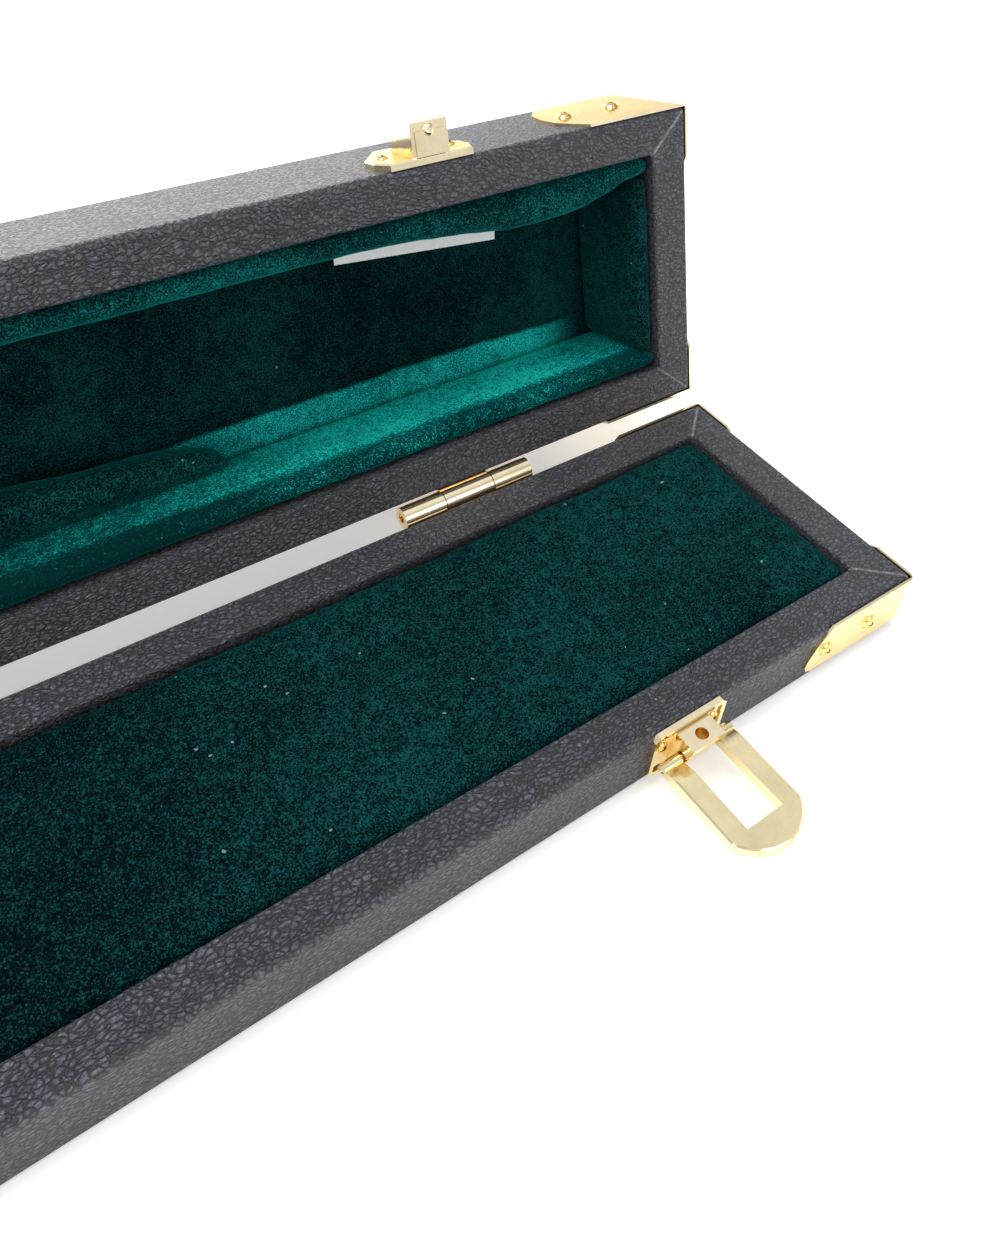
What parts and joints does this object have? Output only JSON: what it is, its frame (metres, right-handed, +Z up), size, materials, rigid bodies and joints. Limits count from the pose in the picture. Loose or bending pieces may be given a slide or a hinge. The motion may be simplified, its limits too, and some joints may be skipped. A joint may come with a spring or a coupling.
{
  "type": "double bass bow case",
  "caption": "Long slim hinged case, leatherette outside and velvet inside, with draw latches, corner brackets and a carrying handle, shown open.",
  "frame": {"origin": "centre of the lid's underside, on the floor", "axes": "+X along the case towards its right-hand end seen from the latch side, +Y from the latches to the hinges, +Z up"},
  "size_m": [0.8268, 0.2229, 0.1384],
  "materials": {
    "lid_wood": "raw",
    "tray_plywood": "raw",
    "pad_board": "raw",
    "leatherette": "pebble grain, semi-matt",
    "velvet": "velvet pile",
    "foam": "open cell",
    "paper": "matt",
    "brass_plate": "polished",
    "brass_screw": "polished",
    "handle_leather": "smooth"
  },
  "bodies": {
    "lid": {"lid_panel": "lid_wood", "lid_rail_front": "lid_wood", "lid_rail_back": "lid_wood", "lid_rail_ends": "lid_wood", "lid_pad_board": "pad_board", "lid_cover": "leatherette", "lid_pad": "velvet", "lid_bracket_fr": "brass_plate", "lid_bracket_fl": "brass_plate", "lid_bracket_br": "brass_plate", "lid_bracket_bl": "brass_plate", "hinge_lid_leaf_r": "brass_plate", "hinge_lid_leaf_l": "brass_plate", "hinge_pins": "brass_plate", "latch_plate_r": "brass_plate", "latch_plate_l": "brass_plate", "latch_block_r": "brass_plate", "latch_block_l": "brass_plate", "latch_pins": "brass_plate", "lid_bracket_screws": "brass_screw", "hinge_lid_screws": "brass_screw", "latch_screws": "brass_screw"},
    "tray": {"base_panel": "tray_plywood", "base_wall_front": "tray_plywood", "base_wall_back": "tray_plywood", "base_wall_ends": "tray_plywood", "base_rim_strips": "tray_plywood", "base_cover": "leatherette", "base_floor_pad": "velvet", "base_lining_front": "velvet", "base_lining_back": "velvet", "base_lining_ends": "velvet", "base_bow_rest": "velvet", "base_side_foam": "foam", "base_label": "paper", "base_bracket_fr": "brass_plate", "base_bracket_fl": "brass_plate", "base_bracket_br": "brass_plate", "base_bracket_bl": "brass_plate", "hinge_base_leaf_r": "brass_plate", "hinge_base_leaf_l": "brass_plate", "keeper_r": "brass_plate", "keeper_l": "brass_plate", "handle_mount_r": "brass_plate", "handle_mount_l": "brass_plate", "handle_pins": "brass_plate", "base_bracket_screws": "brass_screw", "hinge_base_screws": "brass_screw", "keeper_screws": "brass_screw", "handle_screws": "brass_screw"},
    "lever_right": {"latch_lever_r": "brass_plate"},
    "lever_left": {"latch_lever_l": "brass_plate"},
    "handle": {"handle_grip": "handle_leather"}
  },
  "joints": [
    {"name": "case_hinge", "type": "hinge", "parent": "lid", "child": "tray", "pos_m": [0, 0.0565, 0.0226], "axis": [1, 0, 0], "range_deg": [0, 105.9]},
    {"name": "latch_right_pivot", "type": "hinge", "parent": "lid", "child": "lever_right", "pos_m": [0.3135, -0.0581, 0.013], "axis": [-1, 0, 0], "range_deg": [0, 89]},
    {"name": "latch_left_pivot", "type": "hinge", "parent": "lid", "child": "lever_left", "pos_m": [-0.3135, -0.0581, 0.013], "axis": [-1, 0, 0], "range_deg": [0, 89]},
    {"name": "handle_pivot", "type": "hinge", "parent": "tray", "child": "handle", "pos_m": [0, 0.10707, 0.12726], "axis": [1, 0, 0], "range_deg": [0, 150]}
  ]
}
